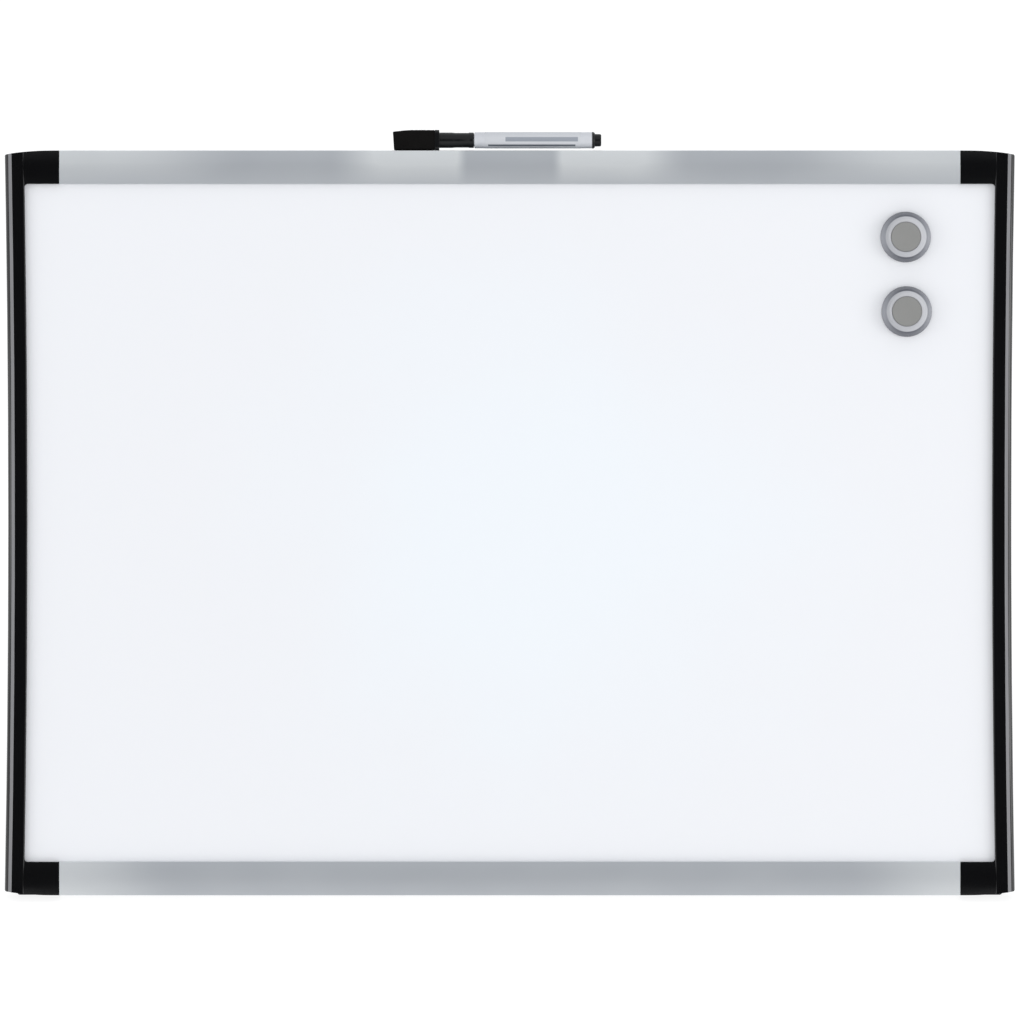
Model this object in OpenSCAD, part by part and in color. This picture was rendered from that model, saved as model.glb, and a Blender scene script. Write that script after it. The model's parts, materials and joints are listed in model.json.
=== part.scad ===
// Magnetic desk whiteboard easel.
// A framed dry-wipe board leans back on a fold-out tube leg. Two round magnets sit on its
// steel face, and a marker with a square eraser on its cap lies on the top rail.
// Board pieces are drawn upright: x to the right, z up the board from its bottom edge, and
// y back from the frame's rear plane. Depths towards the viewer are written t, so t = -y.
// stand() then leans the board back and sets it on the desk.

/* [Board] */
// Width over the corners of the frame
board_w = 585; // [540:5:640]
// Height from the bottom edge to the top edge
board_h = 431; // [400:1:460]
// How far each long side curves in at mid-height
side_bow = 2; // [0:0.1:4]
// Thickness of the enamelled writing sheet
sheet_t = 0.4; // [0.3:0.1:0.8]
// Thickness of the fibreboard core
core_t = 9.5; // [8:0.5:12]
// Thickness of the back sheet
back_t = 0.4; // [0.3:0.1:0.8]
// Play between the panel's faces and the frame
face_play = 0.1; // [0.05:0.05:0.2]
// Play between the panel's edges and the frame
edge_play = 0.6; // [0.4:0.1:1]

/* [Frame] */
// Height of the top and bottom rails, seen from the front
rail_h = 19.4; // [18:0.1:24]
// Depth of the frame in front of the panel
front_t = 3.5; // [3:0.1:5]
// Thickness of the flange behind the panel
flange_t = 1.5; // [1.2:0.1:2]
// Outer wall of the rail extrusion
rail_wall = 1.4; // [1.2:0.1:2]
// Clear height of the rail's closed chamber
chamber_h = 6.8; // [6:0.1:8]
// Web between the chamber and the panel's channel
web_t = 1.2; // [1:0.1:1.5]
// Front wall of the rail extrusion
front_wall = 1.3; // [1:0.1:1.8]
// Rise of the rail's convex front
crown = 0.6; // [0.3:0.1:1]
// Radius of the rail's outer front edge
edge_r = 1.2; // [0.8:0.1:1.6]
// Width of each side frame, seen from the front
side_w = 11.4; // [11:0.1:14]
// Flat black part of the side frame
lip_w = 7.2; // [6:0.1:8]
// Width of the silver trim strip, seen from the front
strip_w = 2.1; // [1.6:0.1:2.8]
// Thickness of the trim strip
strip_t = 0.8; // [0.6:0.1:1]
// Outer wall of the side frame beside the panel
side_wall = 3.8; // [3.4:0.1:4.4]
// Length of a side frame's arm along the rail
arm_len = 31.7; // [30:0.1:40]
// Drop of the arm's edge towards the corner
corner_drop = 2.4; // [1:0.1:3]
// Radius of the frame's outer corner
corner_r = 1.5; // [1:0.1:3]
// Radius of the window's inner corner
window_r = 2; // [1:0.1:4]
// Open joint between an arm and a rail
joint_gap = 0.2; // [0.1:0.05:0.4]
// Length of the tongue that joins a side frame to a rail
tongue_len = 25; // [22:1:32]
// Clearance round the tongue
tongue_play = 0.2; // [0.1:0.05:0.3]

/* [Stand] */
// Lean of the board from upright
lean = 15; // [12:1:20]
// Gap between the frame's edge and the desk
frame_gap = 0.3; // [0.2:0.05:0.5]
// Height of the hinge axis up the board
hinge_z = 300; // [270:1:330]
// Hinge axis behind the frame's rear plane
hinge_y = 9; // [8.5:0.1:11]
// Height of the folded crossbar up the board
crossbar_z = 9; // [8.5:0.1:10]
// Distance between the leg's two uprights
leg_span = 300; // [260:5:340]
// Outer diameter of the leg tube
tube_d = 8; // [7:0.1:8.5]
// Wall of the leg tube
tube_wall = 1; // [0.8:0.1:1.5]
// Bend radius at the tube's centre line
bend_r = 25; // [18:1:35]
// Diameter of the hinge pins
pin_d = 4; // [3:0.1:4.5]
// Running clearance round a hinge pin
pin_play = 0.05; // [0.04:0.01:0.08]
// Width of a leg knuckle
knuckle_w = 12; // [11:0.5:14]
// Diameter of a knuckle's head and socket
knuckle_d = 12; // [11.5:0.1:13]
// Length of a knuckle's socket below the hinge axis
socket_len = 34; // [28:1:42]
// Gap between a knuckle's heel and the bracket when open
heel_gap = 0.2; // [0.15:0.05:0.4]
// Side play of a knuckle between its ears
ear_play = 0.3; // [0.2:0.05:0.5]
// Width of a hinge bracket's base
bracket_w = 40; // [38:1:50]
// Height of a hinge bracket's base
bracket_h = 34; // [30:1:44]
// Sheet thickness of a hinge bracket
bracket_t = 1.5; // [1.2:0.1:1.5]
// Radius round the bore of an ear
ear_r = 5; // [4:0.1:6]
// Thickness of a backing plate inside the core
plate_t = 1.2; // [1:0.1:2]
// Diameter of a bracket rivet
rivet_d = 3.2; // [2.4:0.1:4]
// Diameter of the rubber sleeves on the crossbar
sleeve_d = 12; // [11:0.1:13]
// Length of a sleeve
sleeve_len = 30; // [20:1:40]
// Gap between a sleeve and the start of the tube's bend
sleeve_gap = 5; // [2:1:10]
// Depth that the desk flattens a sleeve
sleeve_flat = 0.5; // [0.4:0.1:0.8]
// Distance of a leg clip from the centre
clip_x = 50; // [35:1:60]
// Width of a clip's jaws
clip_w = 12; // [8:1:14]
// Length of a clip's base
clip_base = 30; // [26:1:34]
// Side gap between a jaw and the tube
clip_play = 0.3; // [0.2:0.05:0.4]
// Width of a board foot
foot_w = 20; // [14:1:22]
// Depth of a board foot behind the frame
foot_d = 5.5; // [4.5:0.1:7]
// Height of a board foot
foot_h = 14; // [11:1:17]
// Diameter of the corner and clip screws
screw_d = 2.9; // [2.5:0.1:3.5]

/* [Magnets] */
// Diameter of a magnet's housing
magnet_d = 29.3; // [26:0.1:34]
// Height of a magnet's housing
magnet_h = 6.8; // [6.4:0.1:9]
// Diameter of the inlay disc
inlay_d = 17; // [12:0.1:18]
// Air gap between a magnet and the sheet
magnet_gap = 0.2; // [0.15:0.05:0.3]
// Upper magnet in from the frame's right edge
magnet_in = 63.4; // [50:0.1:90]
// Upper magnet down from the frame's top edge
magnet_down = 50.1; // [40:0.1:80]
// Distance from the upper to the lower magnet
magnet_pitch = 43.1; // [38:0.1:60]
// Lower magnet to the right of the upper one
magnet_step = 0.6; // [-3:0.1:3]

/* [Marker] */
// Diameter of the marker's barrel
barrel_d = 9.4; // [9.2:0.1:10.2]
// Length of the barrel
barrel_len = 68.3; // [55:0.1:80]
// Wall of the barrel
barrel_wall = 0.9; // [0.7:0.1:1]
// Where the cap meets the barrel, from the board's centre
marker_x = -20.5; // [-60:0.5:20]
// Gap between the rail and the eraser that lies on it
marker_gap = 0.3; // [0.25:0.05:0.4]
// Length of the cap's sleeve
cap_len = 20.3; // [19.5:0.1:24]
// Outer diameter at the cap's mouth
cap_d = 9; // [8.8:0.1:9.2]
// Inner diameter of the cap
cap_bore = 7.4; // [7.2:0.1:7.6]
// Clearance between the nib holder and the cap
cap_play = 0.1; // [0.05:0.01:0.15]
// Length of the felt eraser
eraser_len = 24.3; // [18:0.1:30]
// Height and depth of the felt eraser
eraser_h = 11.7; // [11:0.1:13]
// Thickness of the plate between cap and eraser
plate_len = 2.6; // [2:0.1:3.5]
// Diameter of the nib
nib_d = 3.9; // [3:0.1:4.2]

/* [Hidden] */
$fn = 72;
lean_sin = sin(lean);
lean_cos = cos(lean);
// Depth stack, from the rear plane towards the viewer
back_rear = flange_t + face_play;
core_rear = back_rear + back_t;
core_front = core_rear + core_t;
sheet_front = core_front + sheet_t;
lip_under = sheet_front + face_play;
frame_d = lip_under + front_t;
// Frame outline
half_w = board_w / 2;
joint_x = half_w - arm_len;
window_x = half_w - side_w;
channel_v = rail_wall + chamber_h + web_t;
channel_a = side_w - side_wall;
panel_x = window_x + channel_a - side_bow - edge_play;
panel_z = channel_v + edge_play;
tongue_v = rail_wall + chamber_h / 2;
chamber_front = frame_d - front_wall - crown / 3;
crown_r = (pow(rail_h / 2, 2) + pow(crown, 2)) / (2 * crown);
flange_round = 3.5;
lip_chamfer = 0.6;
sweep_steps = 14;
curve_steps = 10;
drop_power = 2.3;
overlap = 0.5;
screw_in = 12;
screw_len = 9;
clip_screw_len = 7;
// Leg
tube_r = tube_d / 2;
leg_len = hinge_z - crossbar_z;
upright_x = leg_span / 2;
sleeve_r = sleeve_d / 2;
sleeve_x = upright_x - bend_r - sleeve_gap - sleeve_len / 2;
crossbar_up = sleeve_r - sleeve_flat;
hinge_up = hinge_z * lean_cos - hinge_y * lean_sin + frame_gap;
leg_tilt = acos((hinge_up - crossbar_up) / leg_len);
open_angle = lean + leg_tilt;
bracket_rear = bracket_t - back_rear;
ear_in = knuckle_w / 2 + ear_play;
heel_reach = hinge_y - bracket_rear - heel_gap;
tube_top = 9;
heel_h = 7.2;
cross_pin_r = 1.2;
cross_pin_z = hinge_z - socket_len + 8;
rivet_dx = bracket_w / 2 - 5;
rivet_dz = bracket_h / 2 - 6;
plate_play = 0.1;
jaw_t = 1.6;
clip_t = 1.2;
clip_reach = hinge_y + 2;
clip_screw_dx = clip_base / 2 - 5;
screw_play = 0.05;
foot_x = half_w - 16.5;
foot_plug_d = 4;
foot_plug_len = 6;
// Places of the magnets and of the marker
magnet_x = half_w - magnet_in;
magnet_z = board_h - magnet_down;
marker_rise = marker_gap + eraser_h / 2;
barrel_bore = barrel_d / 2 - barrel_wall;
holder_in = 12;
plug_in = 4;
plate_x = marker_x - cap_len;
eraser_x = plate_x - plate_len;
spigot_r = 3.2;
spigot_len = 6;
cap_magnet_r = 2.2;
cap_magnet_len = 4;
// The origin lies on the desk, under the middle of the whole object
reach_front = frame_d * lean_cos - edge_drop(window_x + lip_chamfer) * lean_sin;
hinge_back = hinge_y * lean_cos + hinge_z * lean_sin;
reach_back = hinge_back + leg_len * sin(leg_tilt) + sleeve_r;
shift_y = (reach_front - reach_back) / 2;

// Inward curve of a side at height z
function bow(z) = side_bow * (1 - pow(2 * z / board_h - 1, 2));

// Drop of an arm's outer edge at distance x from the board's centre
function edge_drop(x) = corner_drop * pow(max(0, (x - joint_x) / arm_len), drop_power);

// Leans the upright board back and sets it on the desk
module stand() translate([0, shift_y, frame_gap]) rotate([-lean, 0, 0]) children();

// Everything under the desk top
module below_desk() translate([-board_w, -board_w, -50]) cube([2 * board_w, 2 * board_w, 50]);

// Swings the folded leg open about the hinge axis
module swung_open()
    translate([0, hinge_y, hinge_z]) rotate([open_angle, 0, 0])
        translate([0, -hinge_y, -hinge_z]) children();

// Extrudes an outline in x and z from depth t0 to depth t1
module deep(t0, t1) translate([0, -t0, 0]) rotate([90, 0, 0]) linear_extrude(t1 - t0) children();

// Extrudes an outline in t and z along x, centred
module along_x(length) rotate([90, 0, -90]) linear_extrude(length, center = true) children();

// Round bar facing the viewer, from depth t0 to depth t1
module peg(x, z, t0, t1, r) translate([x, -t0, z]) rotate([90, 0, 0]) cylinder(h = t1 - t0, r = r);

// Outline [radius, depth] turned about an axis that faces the viewer
module turned(x, z, t0, outline)
    translate([x, -t0, z]) rotate([90, 0, 0]) rotate_extrude() polygon(outline);

// Mirrors the right-hand piece for the left-hand side
module sided(side) mirror([side < 0 ? 1 : 0, 0, 0]) children();

// Turns the bottom rail's side up
module at_top() translate([0, 0, board_h]) mirror([0, 0, 1]) children();

// Front outline of a rail or an arm in t and z: a convex face and a rounded outer edge
module rail_outline()
    intersection() {
        union() {
            square([frame_d - edge_r, rail_h]);
            translate([0, edge_r]) square([frame_d, rail_h - edge_r]);
            translate([frame_d - edge_r, edge_r]) circle(edge_r);
        }
        translate([frame_d - crown_r, rail_h / 2]) circle(crown_r, $fn = 256);
    }

// Channel that holds the panel's edge
module panel_channel(depth) translate([flange_t, channel_v]) square([lip_under - flange_t, depth]);

module rail_profile() {
    pocket_h = rail_h - channel_v - rail_wall;
    difference() {
        rail_outline();
        translate([flange_t, rail_wall]) square([chamber_front - flange_t, chamber_h]);
        panel_channel(rail_h);
        translate([lip_under - overlap, channel_v]) square([chamber_front - lip_under + overlap, pocket_h]);
    }
}

module rail_bar() along_x(2 * (joint_x - joint_gap)) rail_profile();

module corner_screw_holes(r, t1)
    for (side = [-1, 1]) peg(side * (joint_x - screw_in), tongue_v, -1, t1, r);

module top_rail()
    color("#b4b8bd") stand() at_top() difference() {
        rail_bar();
        corner_screw_holes(screw_d / 2 + 0.2, flange_t + 1);
    }

module bottom_rail()
    color("#b4b8bd") stand() difference() {
        rail_bar();
        corner_screw_holes(screw_d / 2 + 0.2, flange_t + 1);
        for (side = [-1, 1], dx = [-clip_screw_dx, clip_screw_dx])
            peg(side * clip_x + dx, tongue_v, -1, flange_t + 1, screw_d / 2 + screw_play);
    }

// Carries a section [outward, t] up a bowed side; sections run anticlockwise in x and -t
module bowed_bar(section) {
    n = len(section);
    rings = [for (i = [0:sweep_steps]) board_h * i / sweep_steps];
    points = [for (z = rings, p = section) [window_x - bow(z) + p.x, -p.y, z]];
    walls = [
        for (i = [0:sweep_steps - 1], j = [0:n - 1])
            let (k = (j + 1) % n) [i * n + j, (i + 1) * n + j, (i + 1) * n + k, i * n + k]
    ];
    first = [for (j = [0:n - 1]) j];
    last = [for (j = [n - 1:-1:0]) sweep_steps * n + j];
    polyhedron(points, concat(walls, [first, last]));
}

// The strip's four corners: two pushed into the bevel by its thickness, two on its face
strip_in = strip_t / sqrt(2);
bevel_low = frame_d - strip_w;
function strip_section(proud) = [
    [lip_w - strip_in, frame_d - strip_in], [lip_w + proud, frame_d + proud],
    [lip_w + strip_w + proud, bevel_low + proud], [lip_w + strip_w - strip_in, bevel_low - strip_in]
];

// The side moulding's outside: lip, bevel, rounded outer wall and rear face
flange_w = side_w - lip_w - strip_w;
side_section = concat(
    [[0, 0], [0, frame_d - lip_chamfer], [lip_chamfer, frame_d], [lip_w, frame_d]],
    [for (a = [0:22.5:90]) [
        lip_w + strip_w + flange_w * sin(a), bevel_low - flange_round * (1 - cos(a))]],
    [[side_w, lip_chamfer], [side_w - lip_chamfer, 0]]
);

// The channel for the panel's side edge, open towards the panel
channel_section = [
    [-side_bow - 1, flange_t], [-side_bow - 1, lip_under],
    [channel_a, lip_under], [channel_a, flange_t]
];

function reversed(list) = [for (i = [len(list) - 1:-1:0]) list[i]];

// Front outline of the right side frame: curved arm edges and rounded corners
module side_outline() {
    round_x = half_w - corner_r;
    low = concat(
        [[joint_x - tongue_len - 1, 0]],
        [for (i = [0:curve_steps]) let (x = joint_x + (round_x - joint_x) * i / curve_steps)
            [x, edge_drop(x)]],
        [for (a = [-75:15:0]) [
            round_x + corner_r * cos(a), edge_drop(round_x) + corner_r * (1 + sin(a))]]
    );
    high = [for (p = reversed(low)) [p.x, board_h - p.y]];
    polygon(concat(low, high));
}

// Triangle-like fillet that rounds the window's lower right corner
module window_fillet() {
    x = window_x - bow(rail_h);
    deep(lip_under, frame_d - lip_chamfer) difference() {
        translate([x - window_r, rail_h - overlap]) square([window_r + overlap, window_r + overlap]);
        translate([x - window_r, rail_h + window_r]) circle(window_r);
    }
}

// Lower arm: shell as the rail's, block in the channel's end, tongue into the chamber
module side_arm() {
    front_end = window_x + lip_w - 2 * lip_chamfer;
    block_end = window_x + channel_a + overlap;
    translate([(joint_x + front_end) / 2, 0, 0]) along_x(front_end - joint_x) difference() {
        rail_outline();
        panel_channel(rail_h);
    }
    translate([joint_x, -lip_under, 0]) cube([block_end - joint_x, lip_under, channel_v]);
    translate([joint_x - tongue_len, tongue_play - chamber_front, rail_wall + tongue_play])
        cube([
            tongue_len + overlap, chamber_front - flange_t - 2 * tongue_play,
            chamber_h - 2 * tongue_play
        ]);
    window_fillet();
}

module side_frame(side)
    color("#141416") stand() sided(side) difference() {
        intersection() {
            union() {
                difference() {
                    bowed_bar(side_section);
                    bowed_bar(channel_section);
                    bowed_bar(strip_section(1));
                }
                side_arm();
                at_top() side_arm();
            }
            deep(-1, frame_d + 1) side_outline();
        }
        peg(joint_x - screw_in, tongue_v, 0, screw_len + 1, screw_d / 2 + screw_play);
        at_top() peg(joint_x - screw_in, tongue_v, 0, screw_len + 1, screw_d / 2 + screw_play);
        peg(foot_x, foot_h / 2, -1, foot_plug_len + 1, foot_plug_d / 2 + screw_play);
    }

module left_side_frame() side_frame(-1);
module right_side_frame() side_frame(1);

module trim_strip(side)
    color("#9a9a9c") stand() sided(side) intersection() {
        bowed_bar(strip_section(0));
        deep(0, frame_d + 1) side_outline();
    }

module left_trim_strip() trim_strip(-1);
module right_trim_strip() trim_strip(1);

// Flat rectangle of the panel's size, from depth t0 to depth t1
module panel(t0, t1)
    translate([-panel_x, -t1, panel_z]) cube([2 * panel_x, t1 - t0, board_h - 2 * panel_z]);

// Places of the four rivets in each hinge bracket
module at_rivets()
    for (side = [-1, 1], dx = [-rivet_dx, rivet_dx], dz = [-rivet_dz, rivet_dz])
        translate([side * upright_x + dx, 0, hinge_z + dz]) children();

module writing_sheet() color("#f2f4f7") stand() panel(core_front, sheet_front);

module board_core()
    color("#c9a26b") stand() difference() {
        panel(core_rear, core_front);
        for (side = [-1, 1]) translate([side * upright_x, 0, hinge_z])
            plate_block(bracket_w - 2 + 2 * plate_play, bracket_h - 2 + 2 * plate_play, core_rear - 1,
                core_rear + plate_t + plate_play);
        at_rivets() peg(0, 0, core_rear, core_rear + plate_t + 3, rivet_d);
    }

module back_sheet()
    color("#a9adb1") stand() difference() {
        panel(back_rear, core_rear);
        at_rivets() peg(0, 0, 0, core_front, rivet_d / 2 + screw_play);
    }

// Rectangular plate, w wide and h high, from depth t0 to depth t1
module plate_block(w, h, t0, t1) translate([-w / 2, -t1, -h / 2]) cube([w, t1 - t0, h]);

// Pan-head screw with a cross recess; its head sits on depth t0, on the rear side
module screw(x, z, t0, length) {
    head_h = 1.6;
    head_r = screw_d;
    difference() {
        turned(x, z, t0, [
            [0, -head_h], [head_r * 0.7, -head_h], [head_r, -head_h * 0.5], [head_r, 0],
            [screw_d / 2, 0], [screw_d / 2, length - 1], [0, length]
        ]);
        for (turn = [0, 90]) translate([x, head_h - t0, z]) rotate([0, turn, 0])
            cube([head_r, head_h * 1.2, head_r * 0.2], center = true);
    }
}

module corner_screws()
    color("#6f7276") stand() for (side = [-1, 1]) {
        screw(side * (joint_x - screw_in), tongue_v, 0, screw_len);
        at_top() screw(side * (joint_x - screw_in), tongue_v, 0, screw_len);
    }

// Rubber foot behind the lower corner, cut flat where it meets the desk
module board_foot(side)
    color("#26262a") difference() {
        stand() sided(side) union() {
            deep(-foot_d, 0) rounded_rect(foot_x, foot_h / 2, foot_w, foot_h + 2 * frame_gap, 2);
            peg(foot_x, foot_h / 2, -overlap, foot_plug_len, foot_plug_d / 2);
        }
        below_desk();
    }

module left_board_foot() board_foot(-1);
module right_board_foot() board_foot(1);

// Rectangle about x and y with rounded corners
module rounded_rect(x, y, w, h, r)
    translate([x, y]) {
        square([w, h - 2 * r], center = true);
        square([w - 2 * r, h], center = true);
        for (sx = [-1, 1], sy = [-1, 1]) translate([sx * (w / 2 - r), sy * (h / 2 - r)]) circle(r);
    }

// U-shaped steel bracket: a base on the back sheet and two ears with the pin's bores
module hinge_bracket(side)
    color("#8d9196") stand() translate([side * upright_x, 0, hinge_z]) difference() {
        union() {
            plate_block(bracket_w, bracket_h, back_rear - bracket_t, back_rear);
            for (dx = [-1, 1]) translate([dx * (ear_in + bracket_t / 2), 0, 0])
                along_x(bracket_t) union() {
                    polygon([
                        [overlap - bracket_rear, -bracket_h / 2 + 3],
                        [overlap - bracket_rear, bracket_h / 2 - 3], [-hinge_y, ear_r], [-hinge_y, -ear_r]
                    ]);
                    translate([-hinge_y, 0]) circle(ear_r);
                }
        }
        translate([0, hinge_y, 0]) rotate([0, 90, 0])
            cylinder(h = bracket_w, r = pin_d / 2 + pin_play, center = true);
        for (dx = [-rivet_dx, rivet_dx], dz = [-rivet_dz, rivet_dz])
            peg(dx, dz, -hinge_y, core_front, rivet_d / 2 + screw_play);
    }

module left_hinge_bracket() hinge_bracket(-1);
module right_hinge_bracket() hinge_bracket(1);

module backing_plates()
    color("#8d9196") stand() difference() {
        for (side = [-1, 1]) translate([side * upright_x, 0, hinge_z])
            plate_block(bracket_w - 2, bracket_h - 2, core_rear, core_rear + plate_t);
        at_rivets() peg(0, 0, 0, core_front, rivet_d / 2 + screw_play);
    }

// Blind rivets: head on the bracket, shank, and the bulb that grips the backing plate
module bracket_rivets() {
    grip = core_rear + plate_t - (back_rear - bracket_t);
    color("#a4a8ac") stand() at_rivets() turned(0, 0, back_rear - bracket_t, [
        [0, -1], [rivet_d * 0.6, -1], [rivet_d, -0.2], [rivet_d, 0], [rivet_d / 2, 0],
        [rivet_d / 2, grip], [rivet_d * 0.8, grip], [rivet_d * 0.7, grip + 2], [0, grip + 2.2]
    ]);
}

// Pin with a head on each end, outside the ears
module hinge_pin(side) {
    half = ear_in + bracket_t + pin_play;
    head = 1.2;
    color("#b9bdc1") stand() translate([side * upright_x, hinge_y, hinge_z]) rotate([0, 90, 0])
        rotate_extrude() polygon([
            [0, -half - head], [pin_d * 0.6, -half - head], [pin_d * 0.8, -half - head * 0.5],
            [pin_d * 0.8, -half], [pin_d / 2, -half], [pin_d / 2, half], [pin_d * 0.8, half],
            [pin_d * 0.8, half + head * 0.5], [pin_d * 0.6, half + head], [0, half + head]
        ]);
}

module left_hinge_pin() hinge_pin(-1);
module right_hinge_pin() hinge_pin(1);

// Two jaws on a base plate, which hold the folded crossbar between them
module leg_clip(side) {
    jaw_z = tube_r + clip_play + jaw_t / 2;
    base_h = 2 * (crossbar_z - 1);
    color("#1c1c1f") stand() translate([side * clip_x, 0, 0]) difference() {
        union() {
            deep(-clip_t, 0) rounded_rect(0, crossbar_z, clip_base, base_h, 2);
            for (dz = [-jaw_z, jaw_z])
                translate([-clip_w / 2, clip_t - overlap, crossbar_z + dz - jaw_t / 2])
                    cube([clip_w, clip_reach - clip_t + overlap, jaw_t]);
        }
        for (dx = [-clip_screw_dx, clip_screw_dx])
            peg(dx, tongue_v, -clip_t - 1, 1, screw_d / 2 + screw_play);
    }
}

module left_leg_clip() leg_clip(-1);
module right_leg_clip() leg_clip(1);

module clip_screws()
    color("#6f7276") stand() for (side = [-1, 1], dx = [-clip_screw_dx, clip_screw_dx])
        screw(side * clip_x + dx, tongue_v, -clip_t, clip_screw_len);

// Centre line of the folded leg, swept with a round bar of radius r
module leg_bar(r, top)
    translate([0, hinge_y, crossbar_z]) {
        rotate([0, 90, 0]) cylinder(h = leg_span - 2 * bend_r, r = r, center = true);
        for (side = [-1, 1]) sided(side) {
            translate([upright_x - bend_r, 0, bend_r]) rotate([90, 0, 0]) rotate([0, 0, -90])
                rotate_extrude(angle = 90) translate([bend_r, 0]) circle(r);
            translate([upright_x, 0, bend_r]) cylinder(h = leg_len - bend_r - top, r = r);
        }
    }

module cross_pin_holes(r)
    for (side = [-1, 1]) translate([side * upright_x, hinge_y, cross_pin_z])
        rotate([0, 90, 0]) cylinder(h = 2 * knuckle_w, r = r, center = true);

module leg_tube()
    color("#9fa3a8") stand() swung_open() difference() {
        leg_bar(tube_r, tube_top);
        leg_bar(tube_r - tube_wall, tube_top - 1);
        cross_pin_holes(cross_pin_r + screw_play);
    }

// Nylon end of an upright: head on the pin, socket on the tube, heel that stops the leg
module leg_knuckle(side)
    color("#1c1c1f") stand() swung_open() translate([side * upright_x, hinge_y, hinge_z]) difference() {
        union() {
            rotate([0, 90, 0]) cylinder(h = knuckle_w, d = knuckle_d, center = true);
            translate([0, 0, -socket_len]) cylinder(h = socket_len, d = knuckle_d);
            rotate([-open_angle, 0, 0]) translate([-knuckle_w / 2, -heel_reach, 0])
                cube([knuckle_w, heel_reach, heel_h]);
        }
        rotate([0, 90, 0]) cylinder(h = 2 * knuckle_w, r = pin_d / 2 + pin_play, center = true);
        translate([0, 0, -socket_len - 1]) cylinder(h = socket_len + 2 - tube_top, r = tube_r + screw_play);
        translate([-side * upright_x, -hinge_y, -hinge_z]) cross_pin_holes(cross_pin_r + screw_play);
    }

module left_leg_knuckle() leg_knuckle(-1);
module right_leg_knuckle() leg_knuckle(1);

module knuckle_pins()
    color("#b9bdc1") stand() swung_open() for (side = [-1, 1])
        translate([side * upright_x, hinge_y, cross_pin_z]) rotate([0, 90, 0])
            cylinder(h = knuckle_d - 0.4, r = cross_pin_r, center = true);

// Rubber sleeve on the crossbar, flat where it stands on the desk
module foot_sleeve(side)
    color("#26262a") difference() {
        stand() swung_open() translate([side * sleeve_x, hinge_y, crossbar_z]) rotate([0, 90, 0])
            difference() {
                cylinder(h = sleeve_len, r = sleeve_r, center = true);
                cylinder(h = sleeve_len + 2, r = tube_r + screw_play, center = true);
            }
        below_desk();
    }

module left_foot_sleeve() foot_sleeve(-1);
module right_foot_sleeve() foot_sleeve(1);

// Heights in a magnet, up from its underside
magnet_r = magnet_d / 2;
inlay_r = inlay_d / 2;
inlay_t = 0.8;
inlay_floor = magnet_h - 1.5;
cavity_r = magnet_r - 2.2;
cavity_h = inlay_floor - 1;
rim_r = magnet_r - 2.4;

// Places the lower magnet (0) or the upper one (1)
module at_magnet(row) {
    x = magnet_x + magnet_step * (1 - row);
    z = magnet_z - magnet_pitch * (1 - row);
    translate([x, -sheet_front - magnet_gap, z]) children();
}

// Cup with a sloping wall, a rounded rim, a pocket for the inlay and a cavity underneath
module magnet_housing(row)
    color("#8e9094") stand() at_magnet(row) difference() {
        turned(0, 0, 0, concat(
            [[0, 0], [magnet_r, 0], [magnet_r, 1.2]],
            [for (a = [0:15:90]) [rim_r - 1 + 1.6 * cos(a), magnet_h - 1.6 + 1.6 * sin(a)]],
            [[inlay_r + 1.2, magnet_h - 0.1], [inlay_r + 0.2, magnet_h - 0.6], [0, magnet_h - 0.6]]
        ));
        peg(0, 0, inlay_floor, magnet_h + 1, inlay_r + screw_play);
        peg(0, 0, -1, cavity_h, cavity_r);
    }

module magnet_inlay(row)
    color("#929290") stand() at_magnet(row) peg(0, 0, inlay_floor, inlay_floor + inlay_t, inlay_r);

module magnet_core(row)
    color("#3a3a3e") stand() at_magnet(row) peg(0, 0, 0.1, cavity_h - 0.05, cavity_r - screw_play);

module upper_magnet_housing() magnet_housing(1);
module upper_magnet_inlay() magnet_inlay(1);
module upper_magnet_core() magnet_core(1);
module lower_magnet_housing() magnet_housing(0);
module lower_magnet_inlay() magnet_inlay(0);
module lower_magnet_core() magnet_core(0);

// Axis of the lying marker, measured along x from where the cap meets the barrel
module on_marker() stand() translate([marker_x, -frame_d / 2, board_h + marker_rise]) children();

// Outline [radius, x] turned about the marker's axis
module spun(outline) rotate([0, 90, 0]) rotate_extrude() polygon(outline);

barrel_r = barrel_d / 2;
neck_r = cap_bore / 2 - cap_play;
neck_len = 5;
cone_len = 3.5;
nib_out = 8;
collar_len = 1.5;
plug_len = 3.7;
plug_r = 3.7;

module marker_barrel()
    color("#d6d8dc") on_marker() spun([
        [barrel_bore, 0], [barrel_r - 0.3, 0], [barrel_r, 0.5], [barrel_r, barrel_len - 0.2],
        [barrel_r - 0.2, barrel_len], [barrel_bore, barrel_len]
    ]);

module marker_end_plug() {
    spigot = barrel_bore - screw_play;
    color("#17171a") on_marker() translate([barrel_len, 0, 0]) spun([
        [0, -plug_in], [spigot, -plug_in], [spigot, 0], [barrel_r + 0.2, 0], [barrel_r + 0.2, 0.6],
        [barrel_r - 0.5, collar_len], [plug_r, collar_len], [plug_r - 0.1, collar_len + plug_len - 0.5],
        [plug_r - 0.6, collar_len + plug_len], [0, collar_len + plug_len]
    ]);
}

module nib_holder()
    color("#e4e5e7") on_marker() spun([
        [nib_d / 2, holder_in], [barrel_bore - screw_play, holder_in], [barrel_bore - screw_play, 0],
        [neck_r, 0], [neck_r, -neck_len], [nib_d / 2 + 0.7, -neck_len - cone_len],
        [nib_d / 2, -neck_len - cone_len]
    ]);

module marker_nib() {
    r = nib_d / 2 - 0.03;
    tip = -neck_len - nib_out;
    color("#1c1c20") on_marker() spun(concat(
        [[0, holder_in - 0.5], [r, holder_in - 0.5]],
        [for (a = [0:15:90]) [r * cos(a), tip + 2.5 * (1 - sin(a))]]
    ));
}

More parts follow.
